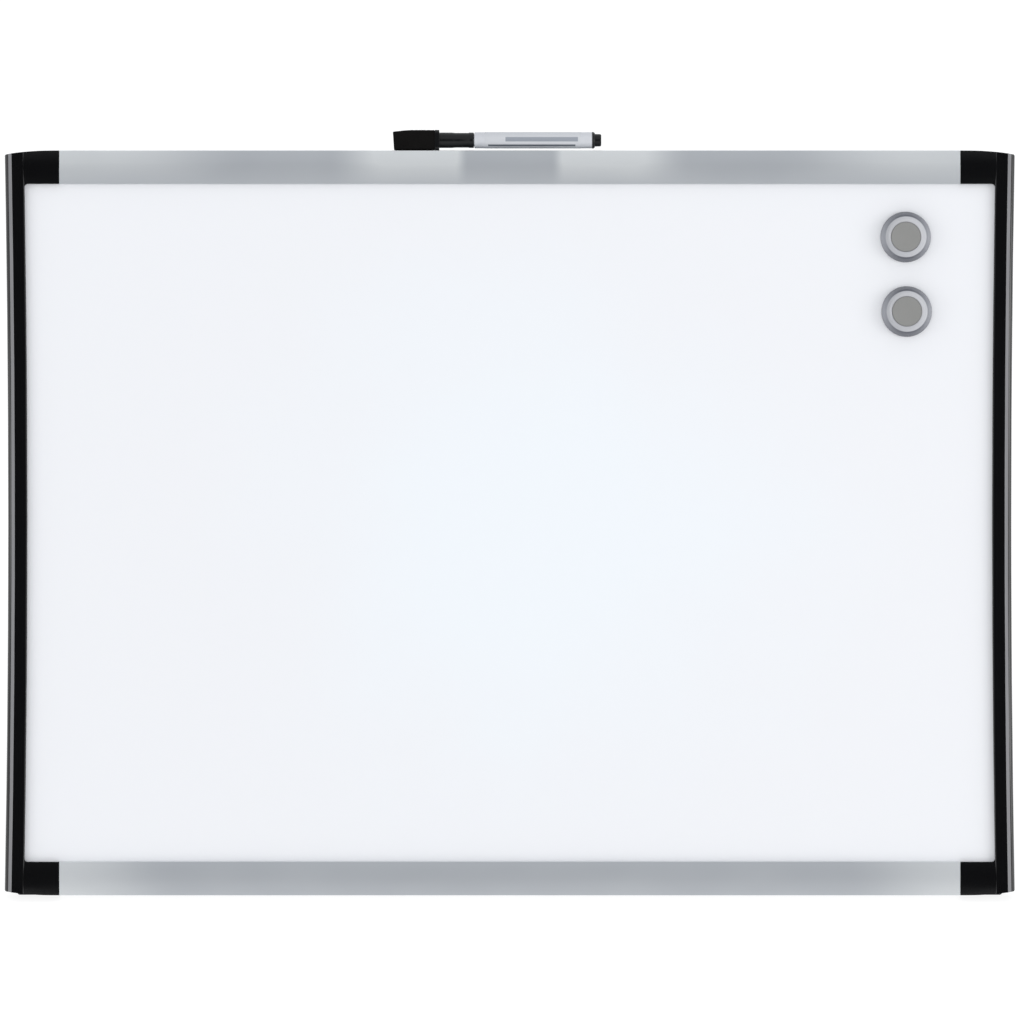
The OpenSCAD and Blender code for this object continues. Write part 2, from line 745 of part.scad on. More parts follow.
module ink_reservoir() {
    r = barrel_bore - 0.2;
    first = holder_in + 0.2;
    last = barrel_len - plug_in - 0.2;
    color("#4a4c55") on_marker() spun([[0, first], [r, first], [r, last], [0, last]]);
}

// Rounded square section of the eraser and its plate, in y and z
module eraser_section()
    rounded_rect(frame_d / 2, board_h + marker_rise, eraser_h, eraser_h, 1.8);

// Cap: sleeve with a bead and a waist, square plate and the hollow spigot inside the eraser
module marker_cap() {
    cap_r = cap_d / 2;
    bead = 3;
    waist = 11;
    color("#1b1b1e") difference() {
        union() {
            on_marker() spun([
                [0, -0.25], [cap_r - 0.2, -0.25], [cap_r, -0.6], [cap_r, -bead],
                [cap_r - 0.2, -bead - 0.4], [cap_r - 0.2, -waist], [cap_r, -waist - 2],
                [cap_r, -cap_len - overlap], [0, -cap_len - overlap]
            ]);
            stand() translate([eraser_x + plate_len / 2, 0, 0]) along_x(plate_len) eraser_section();
            on_marker() translate([-cap_len - plate_len - spigot_len, 0, 0]) rotate([0, 90, 0])
                cylinder(h = spigot_len + overlap, r = spigot_r);
        }
        on_marker() translate([1 - cap_len, 0, 0]) rotate([0, 90, 0]) cylinder(h = cap_len, d = cap_bore);
        on_marker() translate([-cap_len - plate_len - spigot_len - 1, 0, 0]) rotate([0, 90, 0])
            cylinder(h = cap_magnet_len + 1.2, r = cap_magnet_r + screw_play);
    }
}

// Felt block with a slanted end and a socket for the cap's spigot
module cap_eraser() {
    low = board_h + marker_gap;
    high = low + eraser_h;
    far = eraser_x - eraser_len;
    color("#1a1a1b") difference() {
        stand() intersection() {
            translate([eraser_x - eraser_len / 2, 0, 0]) along_x(eraser_len) eraser_section();
            deep(0, frame_d) polygon([
                [eraser_x, low], [far + 0.7, low], [far, high - 1.2], [far + 1, high - 0.7],
                [far + 11, high], [eraser_x, high]
            ]);
        }
        on_marker() translate([-cap_len - plate_len - spigot_len - 0.3, 0, 0]) rotate([0, 90, 0])
            cylinder(h = spigot_len + 1, r = spigot_r + screw_play);
    }
}

module cap_magnet()
    color("#b9bdc1") on_marker() translate([-cap_len - plate_len - spigot_len, 0, 0]) rotate([0, 90, 0])
        cylinder(h = cap_magnet_len, r = cap_magnet_r);

top_rail();
bottom_rail();
left_side_frame();
right_side_frame();
left_trim_strip();
right_trim_strip();
writing_sheet();
board_core();
back_sheet();
corner_screws();
left_board_foot();
right_board_foot();
left_hinge_bracket();
right_hinge_bracket();
backing_plates();
bracket_rivets();
left_hinge_pin();
right_hinge_pin();
left_leg_clip();
right_leg_clip();
clip_screws();
leg_tube();
left_leg_knuckle();
right_leg_knuckle();
knuckle_pins();
left_foot_sleeve();
right_foot_sleeve();
upper_magnet_housing();
upper_magnet_inlay();
upper_magnet_core();
lower_magnet_housing();
lower_magnet_inlay();
lower_magnet_core();
marker_barrel();
marker_end_plug();
nib_holder();
marker_nib();
ink_reservoir();
marker_cap();
cap_eraser();
cap_magnet();
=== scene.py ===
# %% [markdown]
# # A magnetic desk whiteboard easel, dressed in Blender
# The board is built elsewhere as exact solids, and this script gives them their looks. The
# solids come in as one Blender object per piece, already in place, in metres. Pieces whose
# shape is right keep their own mesh and get a finish. A few small ones are made again here as
# finer surfaces. We start by loading the pieces and noting the box that they fill.

# %% Load the pieces
import json
import math

import bpy
import numpy as np
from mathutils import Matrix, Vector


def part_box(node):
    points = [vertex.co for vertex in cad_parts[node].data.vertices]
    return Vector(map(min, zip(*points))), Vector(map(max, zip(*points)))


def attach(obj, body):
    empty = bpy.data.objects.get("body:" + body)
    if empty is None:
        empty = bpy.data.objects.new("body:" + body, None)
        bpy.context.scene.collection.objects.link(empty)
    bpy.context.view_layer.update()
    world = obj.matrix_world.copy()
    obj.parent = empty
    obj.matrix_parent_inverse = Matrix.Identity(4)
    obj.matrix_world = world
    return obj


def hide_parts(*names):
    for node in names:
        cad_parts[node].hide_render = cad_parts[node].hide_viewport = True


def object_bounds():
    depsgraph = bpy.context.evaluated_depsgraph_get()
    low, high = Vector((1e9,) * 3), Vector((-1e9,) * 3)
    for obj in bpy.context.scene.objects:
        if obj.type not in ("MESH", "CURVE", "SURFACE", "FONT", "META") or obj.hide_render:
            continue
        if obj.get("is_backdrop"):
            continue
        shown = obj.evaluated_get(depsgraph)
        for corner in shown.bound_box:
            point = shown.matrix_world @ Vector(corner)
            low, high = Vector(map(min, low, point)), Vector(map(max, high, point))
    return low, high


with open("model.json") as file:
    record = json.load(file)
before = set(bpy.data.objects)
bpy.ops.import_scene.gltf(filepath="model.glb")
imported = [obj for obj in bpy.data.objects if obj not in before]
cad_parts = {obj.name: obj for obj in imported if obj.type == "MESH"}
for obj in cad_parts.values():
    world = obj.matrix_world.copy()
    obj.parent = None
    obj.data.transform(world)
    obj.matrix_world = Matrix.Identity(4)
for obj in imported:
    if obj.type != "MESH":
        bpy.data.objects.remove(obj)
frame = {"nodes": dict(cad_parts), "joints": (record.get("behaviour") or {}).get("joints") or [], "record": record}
cad_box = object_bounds()
nodes = frame["nodes"]

# %% [markdown]
# The board leans back, so its own axes are turned against the room's. A leaning board is far
# easier to describe in its own terms: x to the right, depth towards the viewer and height up
# the board. The record gives both directions, because the magnets pull off along the board's
# front and the marker lifts off along its height. A mount marks the middle of the writing
# face. From there we measure down to the frame's lower edge and back to its rear plane, where
# the board's own zero point is.

# %% The board's own axes
MM = 0.001  # m
MICROMETRE = 3  # decimals of a millimetre, finer than any size of the board
joints = {joint["name"]: joint for joint in frame["joints"]}
mounts = {mount["name"]: mount for mount in frame["record"]["mounts"]}
RIGHT = np.array([1.0, 0.0, 0.0])
FRONT = np.array(joints["upper_magnet_pull"]["axis"])
UP = np.array(joints["marker_lift"]["axis"])
AXES = np.array([RIGHT, FRONT, UP])
LEAN = math.asin(FRONT[2])
FACE_MIDDLE = np.array(mounts["writing_face"]["pos_m"])


def measure(name, zero):
    """Lowest and highest x, depth and height of a piece, in mm from a zero point in the room."""
    mesh = nodes[name].data
    corners = np.empty(len(mesh.vertices) * 3)
    mesh.vertices.foreach_get("co", corners)
    local = (corners.reshape(-1, 3) - zero) @ AXES.T / MM
    return local.min(0), local.max(0)


rear_low, front_high = measure("left_side_frame", FACE_MIDDLE)
SHEET_FRONT, MID_HEIGHT = -rear_low[1:].round(MICROMETRE)  # mm to the writing face's middle
FRAME_DEPTH = (front_high - rear_low)[1].round(MICROMETRE)  # mm
ORIGIN = FACE_MIDDLE - (SHEET_FRONT * FRONT + MID_HEIGHT * UP) * MM


def board_box(name):
    """Lowest and highest x, depth and height of a piece, in board millimetres."""
    return measure(name, ORIGIN)


def place(points):
    """Board millimetres (x, depth, height) to room metres: the origin plus each along its axis."""
    return ORIGIN + np.asarray(points, float) @ AXES * MM


print("lean", round(math.degrees(LEAN), 2), "degrees, frame", FRAME_DEPTH, "mm deep")
print("middle of the face at depth", SHEET_FRONT, "and height", MID_HEIGHT, "mm")

# %% [markdown]
# ## Helpers for finishes
# A finish is a small network of nodes. One function adds a node: it takes the node's kind, a
# dictionary for its sockets, where a value is either a constant or another node's output, and
# the node's own settings. Where sockets share a name, a number tells them apart: in a Mix node
# 0 is the factor, two values go in at 2 and 3 and come out at 0, and two colours go in at 6
# and 7 and come out at 2. Colours are picked as sRGB hex values, the way a screen shows them,
# and one function turns them into the linear values that a renderer adds and multiplies.


# %% Node and colour helpers
def add(tree, kind, sockets=None, **settings):
    """Adds a shader node, sets its options and fills or links its sockets."""
    node = tree.nodes.new("ShaderNode" + kind)
    for name, value in settings.items():
        setattr(node, name, value)
    for name, value in (sockets or {}).items():
        if isinstance(value, bpy.types.NodeSocket):
            tree.links.new(value, node.inputs[name])
        else:
            node.inputs[name].default_value = value
    return node


def colour(hex_code):
    """sRGB hex to linear RGBA: the curve is a straight line near black and a power above it."""
    srgb = [int(hex_code[i : i + 2], 16) / 255 for i in (1, 3, 5)]
    return [c / 12.92 if c <= 0.04045 else ((c + 0.055) / 1.055) ** 2.4 for c in srgb] + [1.0]


print("mid grey", [round(c, 3) for c in colour("#808080")])

# %% [markdown]
# Every finish ends in a Principled shader and starts from the point's place in board
# millimetres, so that the scale of a pattern is simply one over its real size. The Mapping
# node turns the room's axes into the board's: right, back and up. What lies between is a
# recipe, a function that adds its nodes and returns the shader's sockets. Its last arguments
# are the widths and depths of its patterns, in millimetres.


# %% A material from a recipe
def make_material(name, recipe):
    """A material whose recipe gets the tree and the place in mm and returns shader sockets."""
    material = bpy.data.materials.new(name)
    material.use_nodes = True
    tree = material.node_tree
    tree.nodes.clear()
    turned = np.array([RIGHT, -FRONT, UP]) @ ORIGIN
    place_mm = add(tree, "Mapping", {
        "Vector": add(tree, "TexCoord").outputs["Object"],
        "Location": -turned / MM,
        "Rotation": (LEAN, 0, 0),
        "Scale": (1 / MM, 1 / MM, 1 / MM),
    })
    shader = add(tree, "BsdfPrincipled", recipe(tree, place_mm.outputs["Vector"]))
    add(tree, "OutputMaterial", {"Surface": shader.outputs["BSDF"]})
    print("finish", name, "has", len(tree.nodes), "nodes")
    return material


finishes = {}  # by the name of the slot that the record gives a piece

# %% [markdown]
# ## The finishes of the front
# ** Satin anodised aluminium.** The rails are pushed through a die, which leaves faint lines
# along their length, then etched and anodised to a soft grey. It is a metal, so its colour
# sits in its reflections. Into that colour the recipe paints reflections of soft boxes: paler
# stretches that mirror each other about the middle, strongest along the top rail's outer
# half, and on the bottom rail only near its ends. Lamps could draw them, but a satin face
# blurs lamps away, so the recipe paints them by their distance from the middle, and only on
# the face that looks forward.

# %% Satin anodised aluminium
RAIL_BOTTOM, RAIL_TOP = (corner[2] for corner in board_box("top_rail"))  # mm, of the top rail
# The stretches are painted reflections of soft boxes.
REFLECTION_STRETCHES = (  # mm from the middle where a tone starts to change and is done, and the change
    (24, 32, 1.0),  # the top rail's inner stretch begins
    (70, 106, -1.0),  # and ends
    (146, 236, 0.7),  # the top rail's outer stretch
    (190, 258, 0.65),  # the bottom rail's ends
)
REFLECTION_BAND = 7  # mm below the board's upper edge, where the top rail's stretches are strongest
INNER_SHARE = 0.1  # what is left of them at the rail's inner edge
FACE_DEPTH = 8  # mm, the depth at which a rail's face begins to look forward
CLOUD_SHARE = 0.22  # how far a slow cloud can lift the tone, where a whole stretch lifts it by 1


def anodised_aluminium(tree, place_mm, cloud_mm=45, line_mm=0.45, line_depth=0.004):
    """Die lines along x, and painted reflections: paler stretches by distance from the middle."""
    axis = add(tree, "SeparateXYZ", {0: place_mm}).outputs
    aside = add(tree, "Math", {0: axis["X"]}, operation="ABSOLUTE").outputs[0]
    changes = []
    for start, full, change in REFLECTION_STRETCHES:
        changes.append(add(tree, "MapRange", {
            "Value": aside, "From Min": start, "From Max": full, "To Max": change,
        }, interpolation_type="SMOOTHSTEP").outputs["Result"])
    begins, ends, outer, bottom = changes
    inner = add(tree, "Math", {0: begins, 1: ends}).outputs[0]
    both = add(tree, "Math", {0: inner, 1: outer}).outputs[0]
    outward = add(tree, "MapRange", {
        "Value": axis["Z"], "From Min": RAIL_BOTTOM, "From Max": RAIL_TOP - REFLECTION_BAND,
        "To Min": INNER_SHARE, "To Max": 1.0}).outputs["Result"]
    top = add(tree, "Math", {0: both, 1: outward}, operation="MULTIPLY").outputs[0]
    is_top = add(tree, "Math", {0: axis["Z"], 1: MID_HEIGHT}, operation="GREATER_THAN").outputs[0]
    either = add(tree, "Mix", {0: is_top, 2: bottom, 3: top}).outputs[0]
    forward = add(tree, "MapRange", {
        "Value": axis["Y"], "From Min": -FACE_DEPTH, "From Max": -SHEET_FRONT}).outputs["Result"]
    # pale is the painted reflection, kept to the face that looks forward.
    pale = add(tree, "Math", {0: either, 1: forward}, operation="MULTIPLY").outputs[0]
    # The cloud is drawn out along the rail and squeezed across it.
    cloud_place = add(tree, "VectorMath", {0: place_mm, 1: (1, 0.4, 2)}, operation="MULTIPLY")
    cloud = add(tree, "TexNoise", {
        "Vector": cloud_place.outputs[0], "Scale": 1 / cloud_mm, "Detail": 1.0}).outputs["Fac"]
    tone = add(tree, "Math", {0: cloud, 1: CLOUD_SHARE, 2: pale}, operation="MULTIPLY_ADD").outputs[0]
    base = add(tree, "Mix", {0: tone, 6: colour("#c5c9ce"), 7: colour("#f0f3f4")}, data_type="RGBA")
    # A noise that is stretched 250 times along x is a bundle of lines. Real die lines are under
    # 0.1 mm apart. They are drawn at 0.45 mm, the finest that shows.
    line_place = add(tree, "VectorMath", {0: place_mm, 1: (0.004, 1, 1)}, operation="MULTIPLY")
    lines = add(tree, "TexNoise", {
        "Vector": line_place.outputs[0], "Scale": 1 / line_mm, "Detail": 3.0}).outputs["Fac"]
    bump = add(tree, "Bump", {"Height": lines, "Distance": line_depth * MM})
    return {"Base Color": base.outputs[2], "Metallic": 1.0, "Roughness": 0.44,
            "Normal": bump.outputs["Normal"]}


finishes["satin_aluminium"] = make_material("satin_anodised_aluminium", anodised_aluminium)
print("rail face", round(RAIL_TOP - RAIL_BOTTOM, 1), "mm high")

# %% [markdown]
# **Moulded ABS.** The side frames are injection moulded in a polished tool and come out nearly
# black and glossy, with a very slight ripple where the plastic shrank as it cooled. Almost
# all that the eye sees of them is reflection.


# %% Black moulded ABS
def moulded_abs(tree, place_mm, cloud_mm=30, ripple_mm=2.8, ripple_depth=0.006):
    """Near black, with a slow cloud in its tone and a shrinkage ripple in its skin."""
    cloud = add(tree, "TexNoise", {"Vector": place_mm, "Scale": 1 / cloud_mm, "Detail": 2.0})
    base = add(tree, "Mix", {0: cloud.outputs["Fac"], 6: colour("#050506"), 7: colour("#0a0a0b")},
               data_type="RGBA")
    ripple = add(tree, "TexNoise", {"Vector": place_mm, "Scale": 1 / ripple_mm, "Detail": 1.0})
    bump = add(tree, "Bump", {"Height": ripple.outputs["Fac"], "Distance": ripple_depth * MM})
    return {"Base Color": base.outputs[2], "Roughness": 0.15, "IOR": 1.53,
            "Normal": bump.outputs["Normal"]}


finishes["black_abs"] = make_material("black_moulded_abs", moulded_abs)

# %% [markdown]
# **Foil-covered strip.** The silver line in the side frame's bevel is a plastic strip with a
# hot-stamped foil skin, duller and warmer than the rails, with fine streaks along it.


# %% Silver foil strip
def foil_strip(tree, place_mm, streak_mm=0.5, streak_depth=0.003):
    """Grey foil with a noise stretched 100 times up the board, which makes streaks."""
    streak_place = add(tree, "VectorMath", {0: place_mm, 1: (1, 1, 0.01)}, operation="MULTIPLY")
    streaks = add(tree, "TexNoise", {"Vector": streak_place.outputs[0], "Scale": 1 / streak_mm})
    base = add(tree, "Mix", {0: streaks.outputs["Fac"], 6: colour("#78787a"), 7: colour("#8e8e90")},
               data_type="RGBA")
    bump = add(tree, "Bump", {"Height": streaks.outputs["Fac"], "Distance": streak_depth * MM})
    return {"Base Color": base.outputs[2], "Metallic": 0.9, "Roughness": 0.36,
            "Normal": bump.outputs["Normal"]}


finishes["silver_trim"] = make_material("silver_foil_strip", foil_strip)

# %% [markdown]
# **Enamelled steel.** The writing face is sheet steel with a hard white coat, baked on. It is
# white with a breath of blue that is strongest in the middle, and rolled coats show a faint
# orange peel, a few millimetres across, which only its reflections give away. The border of
# the blue isn't a circle: a slow cloud moves it in and out.

# %% White enamel
BLUEST = (15, 0, MID_HEIGHT)  # mm right, back and up
BLUE_FULL, BLUE_GONE = 130, 290  # mm from there, with what the cloud adds
WANDER = 170  # mm that the cloud adds at most


def baked_enamel(tree, place_mm, cloud_mm=130, peel_mm=3.5, peel_depth=0.004):
    """White that turns a little bluer towards the middle, over a faint orange peel."""
    away = add(tree, "VectorMath", {0: place_mm, 1: BLUEST}, operation="DISTANCE").outputs["Value"]
    cloud = add(tree, "TexNoise", {"Vector": place_mm, "Scale": 1 / cloud_mm, "Detail": 2.0})
    reach = add(tree, "Math", {0: cloud.outputs["Fac"], 1: WANDER, 2: away}, operation="MULTIPLY_ADD")
    edge = add(tree, "MapRange", {
        "Value": reach.outputs[0], "From Min": BLUE_FULL, "From Max": BLUE_GONE,
    }, interpolation_type="SMOOTHSTEP")
    base = add(tree, "Mix", {0: edge.outputs["Result"], 6: colour("#e2e6ea"), 7: colour("#e2e3e6")},
               data_type="RGBA")
    peel = add(tree, "TexNoise", {"Vector": place_mm, "Scale": 1 / peel_mm, "Detail": 1.0})
    bump = add(tree, "Bump", {"Height": peel.outputs["Fac"], "Distance": peel_depth * MM})
    return {"Base Color": base.outputs[2], "Roughness": 0.2, "Normal": bump.outputs["Normal"]}


finishes["white_enamel"] = make_material("white_enamelled_steel", baked_enamel)

# %% [markdown]
# ## The finishes of the back
# The back is plain engineering. **Galvanised sheet** is steel dipped in molten zinc, which
# freezes in flat crystals a centimetre wide, each with its own grey and its own gloss. A
# Voronoi pattern cuts the plane into cells just like those.


# %% Galvanised sheet
def galvanised(tree, place_mm, crystal_mm=9, grain_mm=0.8, grain_depth=0.005):
    """Zinc crystals: Voronoi cells that vary in tone and, with it, in gloss."""
    cells = add(tree, "TexVoronoi", {"Vector": place_mm, "Scale": 1 / crystal_mm})
    tone = add(tree, "SeparateColor", {0: cells.outputs["Color"]}).outputs["Red"]
    base = add(tree, "Mix", {0: tone, 6: colour("#a2a6aa"), 7: colour("#bfc3c6")}, data_type="RGBA")
    gloss = add(tree, "MapRange", {"Value": tone, "To Min": 0.34, "To Max": 0.5})
    grain = add(tree, "TexNoise", {"Vector": place_mm, "Scale": 1 / grain_mm})
    bump = add(tree, "Bump", {"Height": grain.outputs["Fac"], "Distance": grain_depth * MM})
    return {"Base Color": base.outputs[2], "Metallic": 0.9, "Roughness": gloss.outputs["Result"],
            "Normal": bump.outputs["Normal"]}


finishes["galvanised_steel"] = make_material("galvanised_sheet", galvanised)

# %% [markdown]
# **Small metal parts.** They differ in grey, in gloss and in the size of their grain, so one
# function writes all four recipes. A noise seldom leaves the middle of its range, so we
# stretch that middle to the full range before it mixes the two tones.

# %% Small metals
NOISE_LOW, NOISE_HIGH = 0.3, 0.7  # nearly all of a noise lies between these
GLOSS_SPREAD = 0.06  # how far the roughness strays to either side


def plain_metal(dark, pale, roughness, grain_mm, grain_depth):
    """A recipe for a metal whose tone and gloss vary over its grain."""
    def recipe(tree, place_mm):
        noise = add(tree, "TexNoise", {"Vector": place_mm, "Scale": 1 / grain_mm, "Detail": 3.0})
        grain = add(tree, "MapRange", {
            "Value": noise.outputs["Fac"], "From Min": NOISE_LOW, "From Max": NOISE_HIGH,
        }).outputs["Result"]
        base = add(tree, "Mix", {0: grain, 6: colour(dark), 7: colour(pale)}, data_type="RGBA")
        gloss = add(tree, "MapRange", {
            "Value": grain, "To Min": roughness - GLOSS_SPREAD, "To Max": roughness + GLOSS_SPREAD})
        bump = add(tree, "Bump", {"Height": grain, "Distance": grain_depth * MM})
        return {"Base Color": base.outputs[2], "Metallic": 1.0,
                "Roughness": gloss.outputs["Result"], "Normal": bump.outputs["Normal"]}
    return recipe


METALS = (  # slot, name, dark and pale tone, roughness, grain in mm and its depth in mm
    # Brackets, pressed from sheet steel and zinc plated: an even grey with a soft shine.
    ("bracket_steel", "zinc_plated_steel", "#9a9ea3", "#b3b7ba", 0.36, 1.5, 0.006),
    # Screws, zinc plated loose in a drum, where they rub: darker, and finely dulled.
    ("zinc_screws", "zinc_plated_screws", "#8f9296", "#aeb1b3", 0.34, 0.6, 0.004),
    # Rivets, drawn from soft aluminium and pulled tight: pale, with a satin head.
    ("rivet_aluminium", "rivet_aluminium", "#b2b4b7", "#c8cacc", 0.38, 0.8, 0.006),
    # Pins, ground and bright plated, to turn easily: nearly a mirror.
    ("bright_steel", "bright_plated_steel", "#b9bcc0", "#d2d5d8", 0.18, 0.8, 0.002),
)
for slot, name, *look in METALS:
    finishes[slot] = make_material(name, plain_metal(*look))

# %% [markdown]
# **Plastics, rubber, lacquer and fibre.** None of these is a metal, so each has a body colour
# under a clear reflection, and the default IOR of 1.5 is close to right for all. What tells
# them apart is the gloss and the grain of the skin. A fibrous one traps light between its
# fibres, so its reflection is turned down as well. The real grains are mostly under 0.1 mm.
# They are drawn at 0.3 mm or more, coarse enough to show.


# %% Plastics, rubber, lacquer and fibre
def plain_coat(dark, pale, roughness, grain_mm, grain_depth, level=0.5, cloud_mm=12):
    """A recipe for a non-metal whose tone varies over a cloud and whose skin has a fine grain."""
    def recipe(tree, place_mm):
        cloud = add(tree, "TexNoise", {"Vector": place_mm, "Scale": 1 / cloud_mm})
        base = add(tree, "Mix", {0: cloud.outputs["Fac"], 6: colour(dark), 7: colour(pale)},
                   data_type="RGBA")
        grain = add(tree, "TexNoise", {"Vector": place_mm, "Scale": 1 / grain_mm})
        bump = add(tree, "Bump", {"Height": grain.outputs["Fac"], "Distance": grain_depth * MM})
        return {"Base Color": base.outputs[2], "Roughness": roughness,
                "Specular IOR Level": level, "Normal": bump.outputs["Normal"]}
    return recipe


COATS = (  # slot, name, dark and pale tone, roughness, grain and its depth in mm, reflection
    # Nylon, moulded in a spark-eroded tool: a fine matt black that spreads each highlight.
    ("black_nylon", "black_moulded_nylon", "#131315", "#1b1b1e", 0.5, 0.35, 0.02),
    # Rubber, pressed in a blasted mould: dull and a little dusty.
    ("black_rubber", "black_moulded_rubber", "#1c1c1e", "#262628", 0.72, 0.4, 0.03, 0.35),
    # Lacquer, sprayed on a steel tube, where it flows out: smooth, with a faint orange peel.
    ("tube_lacquer", "silver_lacquered_tube", "#a6a9ad", "#b2b5b9", 0.3, 1.8, 0.006),
    # Polystyrene, moulded with a finely eroded face: a flat grey without a highlight.
    ("grey_magnet_inlay", "grey_matt_polystyrene", "#7d7d7b", "#848482", 0.62, 0.3, 0.008),
    # Ferrite, pressed from powder and fired: matt charcoal, slightly pitted.
    ("ferrite", "sintered_ferrite", "#2b2b2e", "#36363a", 0.6, 0.3, 0.03),
    # Polypropylene, drawn as a white tube: milky, with a broad soft highlight.
    ("white_barrel", "white_polypropylene", "#bdbfc4", "#c8cace", 0.3, 0.8, 0.004),
    # The same plastic, moulded in black: deep, with a weaker highlight.
    ("black_marker_plastic", "black_polypropylene", "#050607", "#090a0c", 0.28, 0.9, 0.006, 0.3),
    # Felt, pressed from dyed fibres and cut: ragged, with hardly any shine.
    ("eraser_felt", "black_pressed_felt", "#080707", "#121110", 0.95, 0.35, 0.12, 0.1),
    # Fibre, bundled and soaked with ink: a dull blue-black.
    ("ink_felt", "inked_fibre", "#17171c", "#24242c", 0.9, 0.3, 0.05, 0.2),
    # Fibreboard, pressed from wood fibres and left raw: a dull, speckled brown.
    ("fibreboard", "raw_fibreboard", "#8f6f4b", "#a9875f", 0.85, 0.7, 0.08, 0.2),
)
for slot, name, *look in COATS:
    finishes[slot] = make_material(name, plain_coat(*look))

# %% [markdown]
# ** The magnets' shell** is moulded in satin grey ABS. The recipe paints its sloping skirt a
# dark, slightly bluish grey, painted shade and reflection where the steep skirt faces away
# from the light, and its rim a pale grey. It paints light on as well: the skirt is paler at
# its two sides than above and below, and the rim is palest on the right, both painted light.
# A skirt this steep mirrors only the board, so no lamp could draw that. Both are one piece,
# so the piece stores two numbers for each of its points, how far it is from the axis and how
# far it looks to the right, and the recipe reads them.

# %% Two-tone magnet shell
RIM_R = 11.6  # mm from the axis, the outer edge of the pale rim
RIM_BLEND = 0.4  # mm over which it turns into the skirt
# The skirt's paler sides are painted light from soft boxes at the sides.
SIDE_LIGHT_POWER = 2.5  # how fast the pale sides fade towards the top and the bottom


def magnet_shell(tree, place_mm, grain_mm=0.8, grain_depth=0.004):
    """Painted shade on the skirt, with painted light on its sides of strength |rightward| ^ power, blended into a
    rim with painted light, palest on the right.
    """
    radius = add(tree, "Attribute", attribute_name="radius_mm").outputs["Fac"]
    rim = add(tree, "MapRange", {
        "Value": radius, "From Min": RIM_R + RIM_BLEND, "From Max": RIM_R}).outputs["Result"]
    rightward = add(tree, "Attribute", attribute_name="rightward").outputs["Fac"]
    sideways = add(tree, "Math", {0: rightward}, operation="ABSOLUTE").outputs[0]
    sides = add(tree, "Math", {0: sideways, 1: SIDE_LIGHT_POWER}, operation="POWER").outputs[0]
    # The skirt's dark grey is painted shade, and its paler sides are painted light.
    skirt = add(tree, "Mix", {0: sides, 6: colour("#565860"), 7: colour("#888a90")}, data_type="RGBA")
    # The rim's pale grey, paler towards the right, is painted light.
    from_left = add(tree, "MapRange", {"Value": rightward, "From Min": -1, "From Max": 1})
    rim_painted_light = add(tree, "Mix", {
        0: from_left.outputs["Result"], 6: colour("#a2a3a7"), 7: colour("#babbbf")}, data_type="RGBA")
    base = add(tree, "Mix", {0: rim, 6: skirt.outputs[2], 7: rim_painted_light.outputs[2]}, data_type="RGBA")
    grain = add(tree, "TexNoise", {"Vector": place_mm, "Scale": 1 / grain_mm})
    bump = add(tree, "Bump", {"Height": grain.outputs["Fac"], "Distance": grain_depth * MM})
    return {"Base Color": base.outputs[2], "Roughness": 0.26, "Normal": bump.outputs["Normal"]}


finishes["grey_magnet_shell"] = make_material("grey_satin_abs", magnet_shell)

# %% [markdown]
# **The marker's label** is a printed film round the barrel, thin and smooth, so it has a
# tighter shine than the plastic under it. Its print is two plain stripes: a broad pale one
# and a thin dark one below it. A stripe is a band of height that stops short of the film's
# ends, and only the half that faces the viewer has it.

# %% Printed label film
barrel_low, barrel_high = board_box("marker_barrel")
barrel_mid = (barrel_low + barrel_high) / 2
LABEL_START, LABEL_END = 6.0, 61.5  # mm from the barrel's mouth
STRIPES = (  # from x and to x, mm from the barrel's mouth; middle and half width, mm; colour
    (18.0, 60.0, 0.4, 1.3, "#8d929a"),
    (8.0, 58.5, -3.1, 0.5, "#565a61"),
)
STRIPE_BLUR = 0.15  # mm to either side of a stripe's edge, over which the ink fades


def printed_film(tree, place_mm, grain_mm=1.2, grain_depth=0.005):
    """White film with plain stripes, each the product of a band of height and a band of x."""
    axis = add(tree, "SeparateXYZ", {0: place_mm}).outputs
    facing = add(tree, "Math", {0: axis["Y"], 1: -barrel_mid[1]}, operation="LESS_THAN").outputs[0]
    tone = colour("#c0c2c6")
    for start, end, middle, half, ink in STRIPES:
        height = barrel_mid[2] + middle
        centre = barrel_low[0] + (start + end) / 2
        above = add(tree, "Math", {0: axis["Z"], 1: height}, operation="SUBTRACT").outputs[0]
        across = add(tree, "Math", {0: above}, operation="ABSOLUTE").outputs[0]
        band = add(tree, "MapRange", {
            "Value": across, "From Min": half + STRIPE_BLUR, "From Max": half - STRIPE_BLUR,
        }).outputs["Result"]
        beside = add(tree, "Math", {0: axis["X"], 1: centre}, operation="SUBTRACT").outputs[0]
        along = add(tree, "Math", {0: beside}, operation="ABSOLUTE").outputs[0]
        length = add(tree, "Math", {0: along, 1: (end - start) / 2}, operation="LESS_THAN").outputs[0]
        area = add(tree, "Math", {0: length, 1: facing}, operation="MULTIPLY").outputs[0]
        mask = add(tree, "Math", {0: band, 1: area}, operation="MULTIPLY").outputs[0]
        tone = add(tree, "Mix", {0: mask, 6: tone, 7: colour(ink)}, data_type="RGBA").outputs[2]
    grain = add(tree, "TexNoise", {"Vector": place_mm, "Scale": 1 / grain_mm})
    bump = add(tree, "Bump", {"Height": grain.outputs["Fac"], "Distance": grain_depth * MM})
    return {"Base Color": tone, "Roughness": 0.24, "Normal": bump.outputs["Normal"]}


label_finish = make_material("printed_label_film", printed_film)
print("barrel", round(barrel_high[0] - barrel_low[0], 1), "mm long")

# %% [markdown]
# ## Dress the pieces
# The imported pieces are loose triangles. A Weld modifier joins their corners, a Decimate
# modifier dissolves the seams inside flat faces, where thin triangles would upset the shading,
# and a small Bevel rounds each hard edge, as every real edge is rounded, so that edges catch
# the light. The rails are sawn and deburred, which leaves the widest round.

